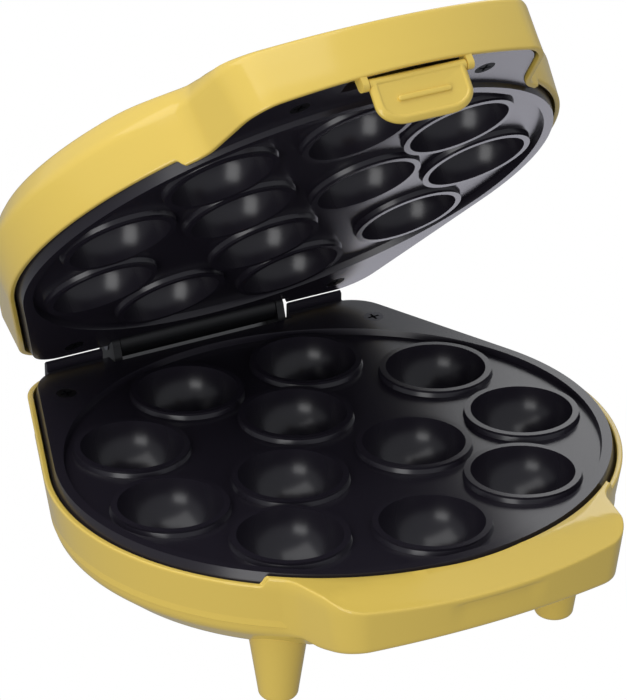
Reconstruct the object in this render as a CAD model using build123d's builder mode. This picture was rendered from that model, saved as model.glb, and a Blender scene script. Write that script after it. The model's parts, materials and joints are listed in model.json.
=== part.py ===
"""Cake pop maker: a hinged countertop cooker with twelve half-ball cavities in each of two plates.

Millimetres.  +Z is up and the tabletop is Z = 0; the handle side faces -Y and the hinge is at +Y.
The pieces are drawn about the middle of the cavities and written about the middle of their joint box.
Both halves are drawn in one "half frame": z = 0 is the plane where the plates meet and z grows
away from it.  base_place turns a half upside down for the base, lid_place opens it as the lid.
"""
from build123d import *
from math import asin, cos, degrees, radians, sin, sqrt
import os

# ---------------------------------------------------------------- cavities and plates
parting_height = 62.0       # tabletop to the plane where the plates meet
open_angle = 45.5           # lid opening in the modelled pose, degrees
outer_count = 9             # cavities in the outer ring
outer_half_width = 79.0     # oval of their centres, left to right
outer_half_depth = 73.0     # and front to back
inner_count = 3             # cavities in the inner ring
inner_share = 0.4           # its oval, as a share of the outer one
cavity_radius = 20.0
cavity_wall = 2.4
ridge_land = 2.0            # flat top of the ridge round each cavity
ridge_spread = 1.0          # how far the ridge's outer slope spreads
plate_gap = 0.5             # between the closed plates
plate_margin = 10.0         # from the outer cavities to the plate's edge
rim_land = 4.5              # width of the raised rim round the recessed disc
recess_floor = 2.8          # half-frame height of the recessed disc
plate_bottom = 5.4          # half-frame height of the plate's underside
skirt_flare = 1.2
plate_half_width = outer_half_width + cavity_radius + plate_margin
plate_half_depth = outer_half_depth + cavity_radius + plate_margin
inner_half_width = outer_half_width * inner_share
inner_half_depth = outer_half_depth * inner_share
plate_back = plate_half_depth + 6.0     # straight rear edge of the plates
side_angle = 20.0           # where the straight sides leave the oval, degrees
back_corner_radius = 17.0
corner_least = 8.0          # the rear corners never get sharper than this further in
hinge_y = plate_back + 5.5  # hinge axis behind the cavities' centre
hinge_rise = 2.3            # hinge axis above the parting plane
hinge_notch = 41.0          # half width of the notch in both plates for the hinge
notch_depth = 5.0
lip_height = 3.0            # the lower plate's rear lips, above the parting plane
lip_width = 2.2
lip_start = hinge_notch + 2.0           # the lips run between these distances from the middle
lip_end = plate_half_width - 41.0
lip_gap = 1.6               # from the plates' rear edge to the lips
lip_root = 4.0              # how far the lips' feet reach into the plate
lug_x = 30.0                # lugs that hook the lower plate under the nose's top
lug_width = 14.0
lug_front = plate_half_depth + 1.0
lug_root = plate_half_depth - 6.0
lug_top = 4.3
lug_bottom = 7.2

# ---------------------------------------------------------------- handle nose of both shells
nose_half_width = plate_half_width - 47.5       # at its front corners
nose_root_half_width = plate_half_width - 36.5  # its flanks spread to this inside the drum
nose_root = plate_half_depth - 37.0
nose_window = nose_half_width + 12.0    # half width over which the nose interrupts the rims
nose_start = plate_half_depth - 43.0    # the side rims step towards the nose in front of this
base_nose_front = plate_half_depth + 18.3
lid_nose_front = base_nose_front + 10.7
base_nose_bow = 240.0       # radius of the nose's front in plan
lid_nose_bow = 150.0
nose_corner_radius = 22.0
nose_neck_radius = 28.0

# ---------------------------------------------------------------- shells
shell_wall = 2.2
plate_clearance = 0.9       # plate skirt to shell
side_rim = 4.0              # half-frame height of both shells' side rims
base_nose_rim = 0.4
base_nose_crease = 6.0      # front crease of the base's nose
base_crease_line = base_nose_front - 18.0    # the nose's top starts to slope here
base_bead = 8.0             # lower edge of the bead along the nose's front that the latch catches
base_bead_depth = 1.5
base_edge = 26.0            # lower edge of the base's wall
base_nose_edge = 20.2       # lower edge of the wall at the nose's front
base_nose_root = base_nose_front - 25.0      # the nose's underside starts to rise here
base_draft = 3.5
base_floor = 36.0
base_floor_inset = 12.0
lid_nose_rim = 1.0
lid_edge = 22.0             # crease between the lid's wall and its bevel
lid_flare = 1.8
lid_shoulder = 32.5         # upper edge of the bevel
lid_shoulder_inset = 8.0
lid_crown = 36.0
lid_crown_inset = 34.0
lid_slope_line = lid_nose_front - 87.0       # the top slopes down to the nose in front of this line
lid_nose_top = 20.5         # top edge of the nose's front

# ---------------------------------------------------------------- feet
front_foot = (plate_half_width - 48.0, 38.5 - plate_half_depth)
rear_foot = (plate_half_width - 46.0, plate_back - 38.0)
foot_top_radius = 11.0
foot_tip_radius = 7.6
foot_edge_radius = 2.5
foot_wall = 2.4
rubber_radius = 4.6
rubber_height = 1.2         # rubber pad, set half into the foot
rubber_recess = 0.6
close_fit = 0.05            # radial clearance of everything that is pushed or screwed in

# ---------------------------------------------------------------- heating and reflector
heater_radius = 3.3
heater_half_width = outer_half_width - 25.0
heater_half_depth = outer_half_depth - 22.0
heater_height = 17.6        # half-frame height of the element's centre line
heater_pin_x = 7.0          # its two ends run side by side to the rear
heater_sleeve_end = heater_half_depth + 9.0
heater_pin_end = plate_half_depth - 5.0
heater_pin_radius = 1.5
web_half_width = 5.5        # cast web under the element
strap_angles = (-90.0, 30.0, 150.0)
strap_length = 24.0
strap_breadth = 10.0
strap_thickness = 1.2
small_screw = 1.5           # strap, reflector and hinge screws
small_head = 2.8
small_head_height = 1.4
small_screw_length = 6.4
strap_screw_reach = 8.5     # strap screws either side of the element
reflector_wall = 0.8
reflector_clear = 4.0       # reflector's edge inside the plate's rim
reflector_draft = 9.0
reflector_floor = 25.2
pillar_angles = (-30.0, 90.0, 210.0)
pillar_half_width = outer_half_width - 5.0
pillar_half_depth = outer_half_depth - 4.6
pillar_radius = 4.0
boss_radius = 7.5           # cast boss in the middle of each plate
control_radius = 7.0        # thermostat and fuse body
control_height = 6.0
control_cap_radius = 5.0
control_cap_height = 1.5
tab_length = 7.0            # their two blade contacts
tab_width = 3.2
tab_thickness = 0.8

# ---------------------------------------------------------------- fasteners
rear_screw_x = plate_half_width - 38.6
rear_screw_y = plate_back - 20.4
upper_rear_x = plate_half_width - 49.0
upper_rear_y = plate_back - 10.5
upper_front_x = nose_half_width - 22.8
upper_front_y = lid_nose_front - 23.0
screw_shank = 1.8
screw_head = 4.0
screw_head_height = 2.2
screw_length = 14.0
cross_length = 0.62         # cross recess, as a share of the head's diameter
cross_width = 0.13
cross_depth = 1.1
post_radius = 4.2
flange_height = 2.2         # upper plate's front flange, away from the parting plane
flange_thickness = 2.6
flange_inset = 1.0          # flange edge inside the shell's inner wall
flange_root = 4.0           # flange overlaps the plate's rim by this much
latch_bay = 25.0            # half width cut out of the flange for the latch
latch_bay_front = lid_nose_front - 16.0

# ---------------------------------------------------------------- hinge
pin_radius = 2.0
pin_half_length = 39.8
pin_fit = 0.06
barrel_radius = 6.0
barrel_half = 35.6
ear_inner = 36.0
ear_outer = 39.4
ear_radius = 6.2
ear_front = hinge_y - 9.3           # front of the triangular ears
web_back = hinge_y + 6.5
base_web_top = 6.2          # base block's cross web, half-frame heights
base_web_bottom = 12.3
hinge_tab_x = 22.0          # screwed tabs that reach into the shells
hinge_tab_width = 13.0
hinge_tab_front = hinge_y - 17.5
hinge_tab_thickness = 2.5
hinge_screw_y = hinge_y - 13.0
lid_web_bottom = 9.0
lid_web_top = 12.2
lid_web_back = hinge_y + 1.5

# ---------------------------------------------------------------- latch
latch_pivot_y = lid_nose_front - 4.5
latch_pivot_height = -1.4   # half-frame height of its pin, just under the rim of the nose
latch_barrel_radius = 2.0
latch_pin_radius = 1.0
latch_half_width = 20.0
latch_thickness = 3.0
latch_drop = 18.6           # pin to the bottom edge
latch_corner_radius = 7.0
latch_rest_angle = 7.0      # leans inwards in the modelled pose
latch_hook_gap = 0.3        # hook to the bead in front of it at rest
latch_hook_drop = 8.9       # pin to the hook's top
latch_hook_height = 2.0
latch_hook_half_width = 12.0
latch_gap = 0.4             # latch to the ears on the lid
latch_ear_width = 2.6
latch_ear_radius = 2.4
latch_ear_high = 7.0
latch_pin_half = latch_half_width + latch_gap + latch_ear_width - 0.4
bar_length = 22.0
bar_width = 2.0
bar_height = 0.7
bar_drop = 8.0              # pin to the raised bar

# ---------------------------------------------------------------- electrics
lens_x = 9.0
lens_y = -16.0
lens_radius = 3.5
lens_flange = 0.9
lens_flange_radius = 4.6
lens_length = 4.0
holder_size = (34.0, 12.0, 3.4)
bushing_x = 57.0 - plate_half_width
bushing_height = 16.5
bushing_radius = 6.5
bushing_neck = 4.5
bushing_bore = 3.3
bushing_flange = 2.0
bushing_length = 6.0
terminal_x = 30.0
terminal_y = plate_half_depth - 33.0
terminal_size = (32.0, 14.0, 6.4)

os.makedirs("parts", exist_ok=True)

opening_grow = skirt_flare + plate_clearance / 2            # plate opening in the nose's top
shell_grow = plate_clearance + skirt_flare + shell_wall     # shell's outside beyond the plate's rim
base_place = Location((0, 0, parting_height), (0, 180, 0))
lid_place = (
    Location((0, hinge_y, parting_height + hinge_rise))
    * Location((0, 0, 0), (-open_angle, 0, 0))
    * Location((0, -hinge_y, -hinge_rise))
)
upright = Location((0, 0, parting_height))
ridge_top = plate_gap / 2
rear_screws = [(-rear_screw_x, rear_screw_y), (rear_screw_x, rear_screw_y)]
upper_rear_screws = [(-upper_rear_x, upper_rear_y), (upper_rear_x, upper_rear_y)]
upper_front_screws = [(-upper_front_x, -upper_front_y), (upper_front_x, -upper_front_y)]


pieces = []


def finish(part, name, place=Location()):
    """Put one piece where it belongs and label it."""
    placed = part.moved(place)
    placed.label = name
    pieces.append(placed)


def ring(count, half_width, half_depth, first=-90.0):
    """Evenly stepped places on an oval."""
    angles = [radians(first + 360.0 / count * step) for step in range(count)]
    return [(half_width * cos(angle), half_depth * sin(angle)) for angle in angles]


cavities = ring(outer_count, outer_half_width, outer_half_depth) + ring(
    inner_count, inner_half_width, inner_half_depth, 90.0
)


def body_outline(grow, nose=None):
    """Oval drum with straight sides to a rounded rear edge.

    nose adds the handle nose: how far forward its front lies and the radius of the front's bow.
    """
    half_width = plate_half_width + grow
    half_depth = plate_half_depth + grow
    back = plate_back + grow
    side_x = half_width * cos(radians(side_angle))
    side_y = half_depth * sin(radians(side_angle))
    slope = half_width * sin(radians(side_angle)) / (half_depth * cos(radians(side_angle)))
    corner_x = side_x - (back - side_y) * slope
    with BuildSketch() as outline:
        Ellipse(half_width, half_depth)
        with BuildLine():
            Polyline((-side_x, side_y), (-corner_x, back), (corner_x, back), (side_x, side_y), close=True)
        make_face()
        fillet(outline.vertices().group_by(Axis.Y)[-1], max(back_corner_radius + grow, corner_least))
        if nose:
            front, bow = nose
            shrink = shell_grow - grow
            corner = nose_half_width - shrink
            root = nose_root_half_width - shrink
            corner_y = bow - front - sqrt(bow**2 - corner**2)
            with BuildLine():
                Polyline((-corner, corner_y), (-root, -nose_root), (root, -nose_root), (corner, corner_y))
                ThreePointArc((corner, corner_y), (0, -front), (-corner, corner_y))
            make_face()
            fillet(outline.vertices().group_by(Axis.Y)[0], nose_corner_radius - shrink)
            necks = outline.vertices().filter_by(lambda v: v.Y < -nose_root / 2).group_by(Axis.Y)[-1]
            fillet(necks, nose_neck_radius + shrink)
    return outline.sketch


def walls(low, low_grow, high, high_grow, low_nose=None, high_nose=None):
    """Straight-walled solid from one size of the body outline to another."""
    with BuildPart() as wall:
        with BuildSketch(Plane.XY.offset(low)):
            add(body_outline(low_grow, low_nose))
        with BuildSketch(Plane.XY.offset(high)):
            add(body_outline(high_grow, high_nose))
        loft(ruled=True)
    return wall.part


def stack(levels, bow):
    """Walls through a list of (height, outline growth, nose front) levels."""
    with BuildPart() as body:
        for (low, low_grow, low_front), (high, high_grow, high_front) in zip(levels, levels[1:]):
            if high > low:
                add(walls(low, low_grow, high, high_grow, (low_front, bow), (high_front, bow)))
    return body.part


def rim_step(low):
    """Space that the shells' side rims leave free; the handle nose reaches nearer the parting plane."""
    reach = 2 * (plate_half_width + lid_nose_front)
    with BuildPart() as space:
        with Locations((0, 0, side_rim)):
            Box(reach, reach, side_rim - low, align=(Align.CENTER, Align.CENTER, Align.MAX))
        with Locations((0, -nose_start, side_rim)):
            Box(2 * nose_window, reach, 2 * (side_rim - low), align=(Align.CENTER, Align.MAX, Align.CENTER),
                mode=Mode.SUBTRACT)
    return space.part


def slope_plane(y_near, z_near, y_far, z_far):
    """Plane through two lines parallel to X; its normal points away from the parting plane."""
    return Plane(origin=(0, y_near, z_near), x_dir=(1, 0, 0), z_dir=(0, z_near - z_far, y_far - y_near))


# ================================================================ shell forms (half frame)
def base_form(inset):
    """Outside (inset 0) or inside (inset = wall) of the base shell."""
    grow = shell_grow - inset
    front = base_nose_front - inset
    level = base_nose_rim + inset
    edge = base_edge - inset / 2
    bead = base_bead - inset / 2
    bead_grow = grow - base_draft * (bead - side_rim) / (edge - side_rim)
    slope = (base_edge - base_nose_edge) / (base_nose_front - base_nose_root)
    far = base_nose_front + nose_window
    with BuildPart() as form:
        add(stack([(level, grow, front), (side_rim, grow, front), (bead, bead_grow, front),
                   (bead, bead_grow, front - base_bead_depth),
                   (edge, grow - base_draft, front - base_bead_depth)], base_nose_bow))
        add(walls(edge, grow - base_draft, base_floor - inset, grow - base_draft - base_floor_inset))
        # sloping underside and top of the handle nose
        with BuildSketch(Plane(origin=(0, 0, 0), x_dir=(0, 1, 0), z_dir=(1, 0, 0))):
            with BuildLine():
                Polyline(
                    (inset - base_nose_root, base_edge - inset),
                    (-far, base_edge - inset - slope * (far - base_nose_root)),
                    (-far, 2 * base_floor),
                    (inset - base_nose_root, 2 * base_floor),
                    close=True,
                )
            make_face()
        extrude(amount=nose_window, both=True, mode=Mode.SUBTRACT)
        split(bisect_by=slope_plane(-base_nose_front, base_nose_crease + inset, -base_crease_line, level),
              keep=Keep.TOP)
    return form.part


def lid_form(inset, nose_rim):
    """Outside (inset 0) or inside (inset = wall) of the lid shell."""
    grow = shell_grow - inset
    front = lid_nose_front - inset
    shoulder = lid_shoulder - inset
    shoulder_grow = grow + lid_flare - lid_shoulder_inset
    with BuildPart() as form:
        add(stack([(nose_rim, grow, front), (side_rim, grow, front),
                   (lid_edge - inset / 2, grow + lid_flare, front),
                   (shoulder, shoulder_grow, front - lid_shoulder_inset)], lid_nose_bow))
        add(walls(shoulder, shoulder_grow, lid_crown - inset, grow - lid_crown_inset))
        split(bisect_by=slope_plane(-lid_nose_front, lid_nose_top - inset,
                                    -lid_slope_line, lid_crown - inset), keep=Keep.BOTTOM)
    return form.part


# ================================================================ screws
def screw(head, head_height, shank, length, sunk=False):
    """Cross-head screw: the head's top at the origin, the shank towards +Z."""
    with BuildPart() as body:
        if sunk:
            Cone(head, shank, head_height, align=(Align.CENTER, Align.CENTER, Align.MIN))
        else:
            Cylinder(head, head_height, align=(Align.CENTER, Align.CENTER, Align.MIN))
        Cylinder(shank, length, align=(Align.CENTER, Align.CENTER, Align.MIN))
        for turn in (0, 90):
            with Locations(Location((0, 0, 0), (0, 0, turn))):
                Box(2 * head * cross_length, 2 * head * cross_width, 2 * cross_depth, mode=Mode.SUBTRACT)
    return body.part


def screw_row(places, height, body):
    """Copies of one screw with their heads' tops at one half-frame height."""
    with BuildPart() as row:
        with Locations([(x, y, height) for x, y in places]):
            add(body)
    return row.part


def drill(places, low, high, radius):
    """Round holes, or posts, between two half-frame heights."""
    with BuildPart() as holes:
        with Locations([(x, y, low) for x, y in places]):
            Cylinder(radius, high - low, align=(Align.CENTER, Align.CENTER, Align.MIN))
    return holes.part


def countersinks(places, height):
    """Holes for sunk plate screws."""
    with BuildPart() as holes:
        with Locations([(x, y, height) for x, y in places]):
            Cone(screw_head + close_fit, screw_shank + close_fit, screw_head_height,
                 align=(Align.CENTER, Align.CENTER, Align.MIN))
    return holes.part


plate_screw = screw(screw_head, screw_head_height, screw_shank, screw_length, sunk=True)
fine_screw = screw(small_head, small_head_height, small_screw, small_screw_length)


# ================================================================ what both halves have
ridge_outer = cavity_radius + ridge_land
ridge_foot = ridge_outer + ridge_spread
pad_top = heater_height + heater_radius
web_top = heater_height - heater_radius
strap_centres = [
    (angle, heater_half_width * cos(radians(angle)), heater_half_depth * sin(radians(angle)))
    for angle in strap_angles
]
strap_screw_places = [
    (x + reach * cos(radians(angle)), y + reach * sin(radians(angle)))
    for angle, x, y in strap_centres
    for reach in (-strap_screw_reach, strap_screw_reach)
]
pillar_places = [
    (pillar_half_width * cos(radians(angle)), pillar_half_depth * sin(radians(angle)))
    for angle in pillar_angles
]
reflector_inside = reflector_floor - reflector_wall
control_seat = reflector_inside - control_height


def plate_body():
    """Everything the two plates share: skirted slab, rim, recessed disc, bowls, pads and boss."""
    with BuildPart() as plate:
        add(walls(ridge_top, 0.0, plate_bottom, skirt_flare))
        with BuildSketch(Plane.XY.offset(ridge_top)):
            Ellipse(plate_half_width - rim_land + 0.6, plate_half_depth - rim_land + 0.6)
        with BuildSketch(Plane.XY.offset(recess_floor)):
            Ellipse(plate_half_width - rim_land, plate_half_depth - rim_land)
        loft(ruled=True, mode=Mode.SUBTRACT)
        with Locations([(x, y, ridge_top) for x, y in cavities]):
            Cone(ridge_outer, ridge_foot, recess_floor - ridge_top,
                 align=(Align.CENTER, Align.CENTER, Align.MIN))
            Sphere(cavity_radius + cavity_wall)
        with Locations((0, 0, ridge_top)):
            Box(4 * plate_half_width, 4 * plate_half_width, 4 * cavity_radius,
                align=(Align.CENTER, Align.CENTER, Align.MAX), mode=Mode.SUBTRACT)
        # cast web, pads, pillars and boss under the slab
        with BuildSketch(Plane.XY.offset(plate_bottom)):
            Ellipse(heater_half_width + web_half_width, heater_half_depth + web_half_width)
            Ellipse(heater_half_width - web_half_width, heater_half_depth - web_half_width,
                    mode=Mode.SUBTRACT)
        extrude(amount=web_top - plate_bottom)
        for angle, x, y in strap_centres:
            with Locations(Location((x, y, plate_bottom), (0, 0, angle))):
                Box(strap_length, strap_breadth, pad_top - plate_bottom,
                    align=(Align.CENTER, Align.CENTER, Align.MIN))
        add(drill(pillar_places, plate_bottom, reflector_inside, pillar_radius))
        add(drill([(0, 0)], plate_bottom, control_seat, boss_radius))
        # channel for the heating element, screw holes, cavities and the notch for the hinge
        channel = heater_radius + close_fit
        with BuildSketch(Plane.XY.offset(web_top)):
            Ellipse(heater_half_width + channel, heater_half_depth + channel)
            Ellipse(heater_half_width - channel, heater_half_depth - channel, mode=Mode.SUBTRACT)
        extrude(amount=2 * heater_radius + 1, mode=Mode.SUBTRACT)
        depth = small_screw_length - small_head_height
        add(drill(strap_screw_places, pad_top + strap_thickness - depth, pad_top + 1,
                  small_screw + close_fit), mode=Mode.SUBTRACT)
        add(drill(pillar_places, reflector_floor - depth, reflector_floor, small_screw + close_fit),
            mode=Mode.SUBTRACT)
        with Locations([(x, y, ridge_top) for x, y in cavities]):
            Sphere(cavity_radius, mode=Mode.SUBTRACT)
        with Locations((0, plate_back + 4 * skirt_flare, 0)):
            Box(2 * hinge_notch, 2 * (notch_depth + 4 * skirt_flare), 4 * plate_bottom, mode=Mode.SUBTRACT)
    return plate.part


def heating_element():
    """Tubular element: an oval ring, two sleeves and two contact pins to the rear."""
    gap = degrees(asin(heater_pin_x / heater_half_width))
    end_y = heater_half_depth * sqrt(1 - (heater_pin_x / heater_half_width) ** 2)
    with BuildPart() as element:
        with BuildLine():
            EllipticalCenterArc((0, 0, heater_height), heater_half_width, heater_half_depth,
                                start_angle=90 + gap, arc_size=360 - 2 * gap)
        with BuildSketch(Plane(origin=(-heater_pin_x, end_y, heater_height), x_dir=(0, 1, 0),
                               z_dir=(-1, 0, 0))):
            Circle(heater_radius)
        sweep()
        for side in (-1, 1):
            with Locations((side * heater_pin_x, end_y, heater_height)):
                Sphere(heater_radius)
            with BuildSketch(Plane(origin=(side * heater_pin_x, end_y, heater_height), z_dir=(0, 1, 0))):
                Circle(heater_radius)
            extrude(amount=heater_sleeve_end - end_y)
            with BuildSketch(Plane(origin=(side * heater_pin_x, end_y, heater_height), z_dir=(0, 1, 0))):
                Circle(heater_pin_radius)
            extrude(amount=heater_pin_end - end_y)
    return element.part


def straps():
    """Flat bars that hold the element in its channel."""
    with BuildPart() as bars:
        for angle, x, y in strap_centres:
            with Locations(Location((x, y, pad_top), (0, 0, angle))):
                Box(strap_length, strap_breadth, strap_thickness,
                    align=(Align.CENTER, Align.CENTER, Align.MIN))
        add(drill(strap_screw_places, 0, reflector_floor, small_screw + close_fit), mode=Mode.SUBTRACT)
    return bars.part


def reflector():
    """Thin metal pan over the heated side of a plate."""
    half_width = plate_half_width - reflector_clear
    half_depth = plate_half_depth - reflector_clear
    with BuildPart() as pan:
        for wall, floor, mode in ((0.0, reflector_floor, Mode.ADD),
                                  (reflector_wall, reflector_inside, Mode.SUBTRACT)):
            with BuildSketch(Plane.XY.offset(plate_bottom)):
                Ellipse(half_width - wall, half_depth - wall)
            with BuildSketch(Plane.XY.offset(floor)):
                Ellipse(half_width - reflector_draft - wall, half_depth - reflector_draft - wall)
            loft(ruled=True, mode=mode)
        add(drill(pillar_places, 0, 2 * reflector_floor, small_screw + close_fit), mode=Mode.SUBTRACT)
        for side in (-1, 1):
            with BuildSketch(Plane(origin=(side * heater_pin_x, heater_sleeve_end, heater_height),
                                   z_dir=(0, 1, 0))):
                Circle(heater_radius)
            extrude(amount=half_depth, mode=Mode.SUBTRACT)
    return pan.part


def control():
    """Round bimetal control clamped between the boss and the reflector, with two blades."""
    with BuildPart() as body:
        with Locations((0, 0, control_seat)):
            Cylinder(control_radius, control_height - control_cap_height,
                     align=(Align.CENTER, Align.CENTER, Align.MIN))
            Cylinder(control_cap_radius, control_height, align=(Align.CENTER, Align.CENTER, Align.MIN))
        for side in (-1, 1):
            with Locations((side * (control_radius + tab_length / 2 - 1), 0,
                            control_seat + control_height / 3)):
                Box(tab_length + 2, tab_width, tab_thickness)
    return body.part


# ================================================================ base shell
def base_wall_y(height):
    """Outer face of the base's rear wall at a half-frame height."""
    return plate_back + shell_grow - base_draft * (height - side_rim) / (base_edge - side_rim)


foot_places = [(side * x, y) for x, y in (front_foot, rear_foot) for side in (-1, 1)]
foot_tip = parting_height - rubber_height + rubber_recess
hinge_tab_top = base_web_bottom - hinge_tab_thickness
hinge_screw_places = [(-hinge_tab_x, hinge_screw_y), (hinge_tab_x, hinge_screw_y)]
bushing_plane = Plane(
    origin=(bushing_x, base_wall_y(bushing_height), bushing_height),
    x_dir=(1, 0, 0),
    z_dir=(0, base_edge - side_rim, base_draft),
)

with BuildPart() as base_hollow:
    add(base_form(shell_wall))
    add(drill(rear_screws, plate_bottom, base_floor, post_radius), mode=Mode.SUBTRACT)
    add(drill(hinge_screw_places, base_web_bottom, base_floor, post_radius), mode=Mode.SUBTRACT)

with BuildPart() as base_shell:
    add(base_form(0.0))
    add(rim_step(0.0), mode=Mode.SUBTRACT)
    with Locations([(x, y, base_floor - shell_wall / 2) for x, y in foot_places]):
        Cone(foot_top_radius, foot_tip_radius, foot_tip - base_floor + shell_wall / 2,
             align=(Align.CENTER, Align.CENTER, Align.MIN))
    fillet(base_shell.edges().filter_by(GeomType.CIRCLE).group_by(Axis.Z)[-1], foot_edge_radius)
    add(base_hollow.part, mode=Mode.SUBTRACT)
    add(walls(-1, opening_grow, plate_bottom + 1, opening_grow), mode=Mode.SUBTRACT)
    with Locations([(x, y, base_floor - shell_wall - 1) for x, y in foot_places]):
        Cone(foot_top_radius - foot_wall, foot_tip_radius - foot_wall,
             foot_tip - foot_wall - rubber_recess - base_floor + shell_wall + 1,
             align=(Align.CENTER, Align.CENTER, Align.MIN), mode=Mode.SUBTRACT)
    add(drill(foot_places, foot_tip - rubber_recess, foot_tip + 1, rubber_radius + close_fit),
        mode=Mode.SUBTRACT)
    # notch for the hinge, pilot holes and the cord's hole
    with Locations((0, web_back, 0)):
        Box(2 * hinge_notch, 2 * (web_back - ear_front + 1), 2 * base_web_bottom, mode=Mode.SUBTRACT)
    add(drill(rear_screws, 0, ridge_top + screw_length + 1, screw_shank + close_fit), mode=Mode.SUBTRACT)
    add(drill(hinge_screw_places, 0, hinge_tab_top + small_screw_length, small_screw + close_fit),
        mode=Mode.SUBTRACT)
    with BuildSketch(bushing_plane):
        Circle(bushing_neck + close_fit)
    extrude(amount=2 * shell_wall, both=True, mode=Mode.SUBTRACT)
finish(base_shell.part, "base_shell", base_place)

with BuildPart() as rubbers:
    add(drill(foot_places, foot_tip - rubber_recess, parting_height, rubber_radius))
finish(rubbers.part, "foot_pads", base_place)

# ================================================================ lower plate and its fittings
with BuildPart() as lower_plate:
    add(plate_body())
    lip_y = plate_back + lip_gap
    for side in (-1, 1):
        lip_x = side * (lip_start + lip_end) / 2
        with BuildSketch(Plane(origin=(lip_x, 0, 0), x_dir=(0, 1, 0), z_dir=(1, 0, 0))):
            with BuildLine():
                Polyline(
                    (plate_back - lip_root, 1.0),
                    (lip_y, 1.0),
                    (lip_y, -lip_height + lip_width / 2),
                    (lip_y + lip_width / 2, -lip_height),
                    (lip_y + lip_width, -lip_height + lip_width / 2),
                    (lip_y + lip_width, side_rim - lip_root / 10),
                    (plate_back - lip_root, side_rim - lip_root / 10),
                    close=True,
                )
            make_face()
        extrude(amount=(lip_end - lip_start) / 2, both=True)
        with Locations((side * lug_x, -(lug_front + lug_root) / 2, lug_top)):
            Box(lug_width, lug_front - lug_root, lug_bottom - lug_top,
                align=(Align.CENTER, Align.CENTER, Align.MIN))
    with Locations([(x, y, ridge_top) for x, y in cavities]):
        Sphere(cavity_radius, mode=Mode.SUBTRACT)
    add(countersinks(rear_screws, ridge_top), mode=Mode.SUBTRACT)
    add(drill(rear_screws, 0, 2 * plate_bottom, screw_shank + close_fit), mode=Mode.SUBTRACT)
finish(lower_plate.part, "lower_plate", base_place)
finish(screw_row(rear_screws, ridge_top, plate_screw), "lower_plate_screws", base_place)

for half, place in (("lower", base_place), ("upper", lid_place)):
    finish(heating_element(), f"{half}_heater", place)
    finish(straps(), f"{half}_heater_straps", place)
    strap_head = pad_top + strap_thickness + small_head_height
    flipped = screw_row([(x, -y) for x, y in strap_screw_places], 0, fine_screw)
    finish(flipped.moved(Location((0, 0, strap_head), (180, 0, 0))), f"{half}_strap_screws", place)
    finish(reflector(), f"{half}_reflector", place)
    flipped = screw_row([(x, -y) for x, y in pillar_places], 0, fine_screw)
    pan_head = reflector_floor + small_head_height
    finish(flipped.moved(Location((0, 0, pan_head), (180, 0, 0))), f"{half}_reflector_screws", place)
finish(control(), "thermostat", base_place)
finish(control(), "thermal_fuse", lid_place)

# ================================================================ upper plate
with BuildPart() as upper_plate:
    with BuildSketch(Plane.XY.offset(flange_height)):
        add(body_outline(shell_grow - shell_wall - flange_inset,
                         (lid_nose_front - shell_wall - flange_inset, lid_nose_bow)))
        Ellipse(plate_half_width - flange_root, plate_half_depth - flange_root, mode=Mode.SUBTRACT)
        with Locations((0, plate_half_width - plate_half_depth / 2)):
            Rectangle(4 * plate_half_width, 2 * plate_half_width + plate_half_depth / 2, mode=Mode.SUBTRACT)
        with Locations((0, -latch_bay_front - latch_bay)):
            Rectangle(2 * latch_bay, 2 * latch_bay, mode=Mode.SUBTRACT)
    extrude(amount=flange_thickness)
    add(plate_body())
    add(countersinks(upper_rear_screws, ridge_top), mode=Mode.SUBTRACT)
    add(countersinks(upper_front_screws, flange_height), mode=Mode.SUBTRACT)
    add(drill(upper_rear_screws + upper_front_screws, 0, 2 * plate_bottom, screw_shank + close_fit),
        mode=Mode.SUBTRACT)
finish(upper_plate.part, "upper_plate", lid_place)

with BuildPart() as upper_screw_set:
    add(screw_row(upper_rear_screws, ridge_top, plate_screw))
    add(screw_row(upper_front_screws, flange_height, plate_screw))
finish(upper_screw_set.part, "upper_plate_screws", lid_place)

# ================================================================ lid shell
lid_tab_top = lid_web_top
lens_places = [(-lens_x, lens_y), (lens_x, lens_y)]
with BuildPart() as lid_hollow:
    add(lid_form(shell_wall, lid_nose_rim - shell_wall))
    add(drill(upper_rear_screws, plate_bottom, lid_crown, post_radius), mode=Mode.SUBTRACT)
    add(drill(upper_front_screws, flange_height + flange_thickness, lid_crown, post_radius),
        mode=Mode.SUBTRACT)
    add(drill(hinge_screw_places, lid_tab_top, lid_crown, post_radius), mode=Mode.SUBTRACT)

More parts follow.
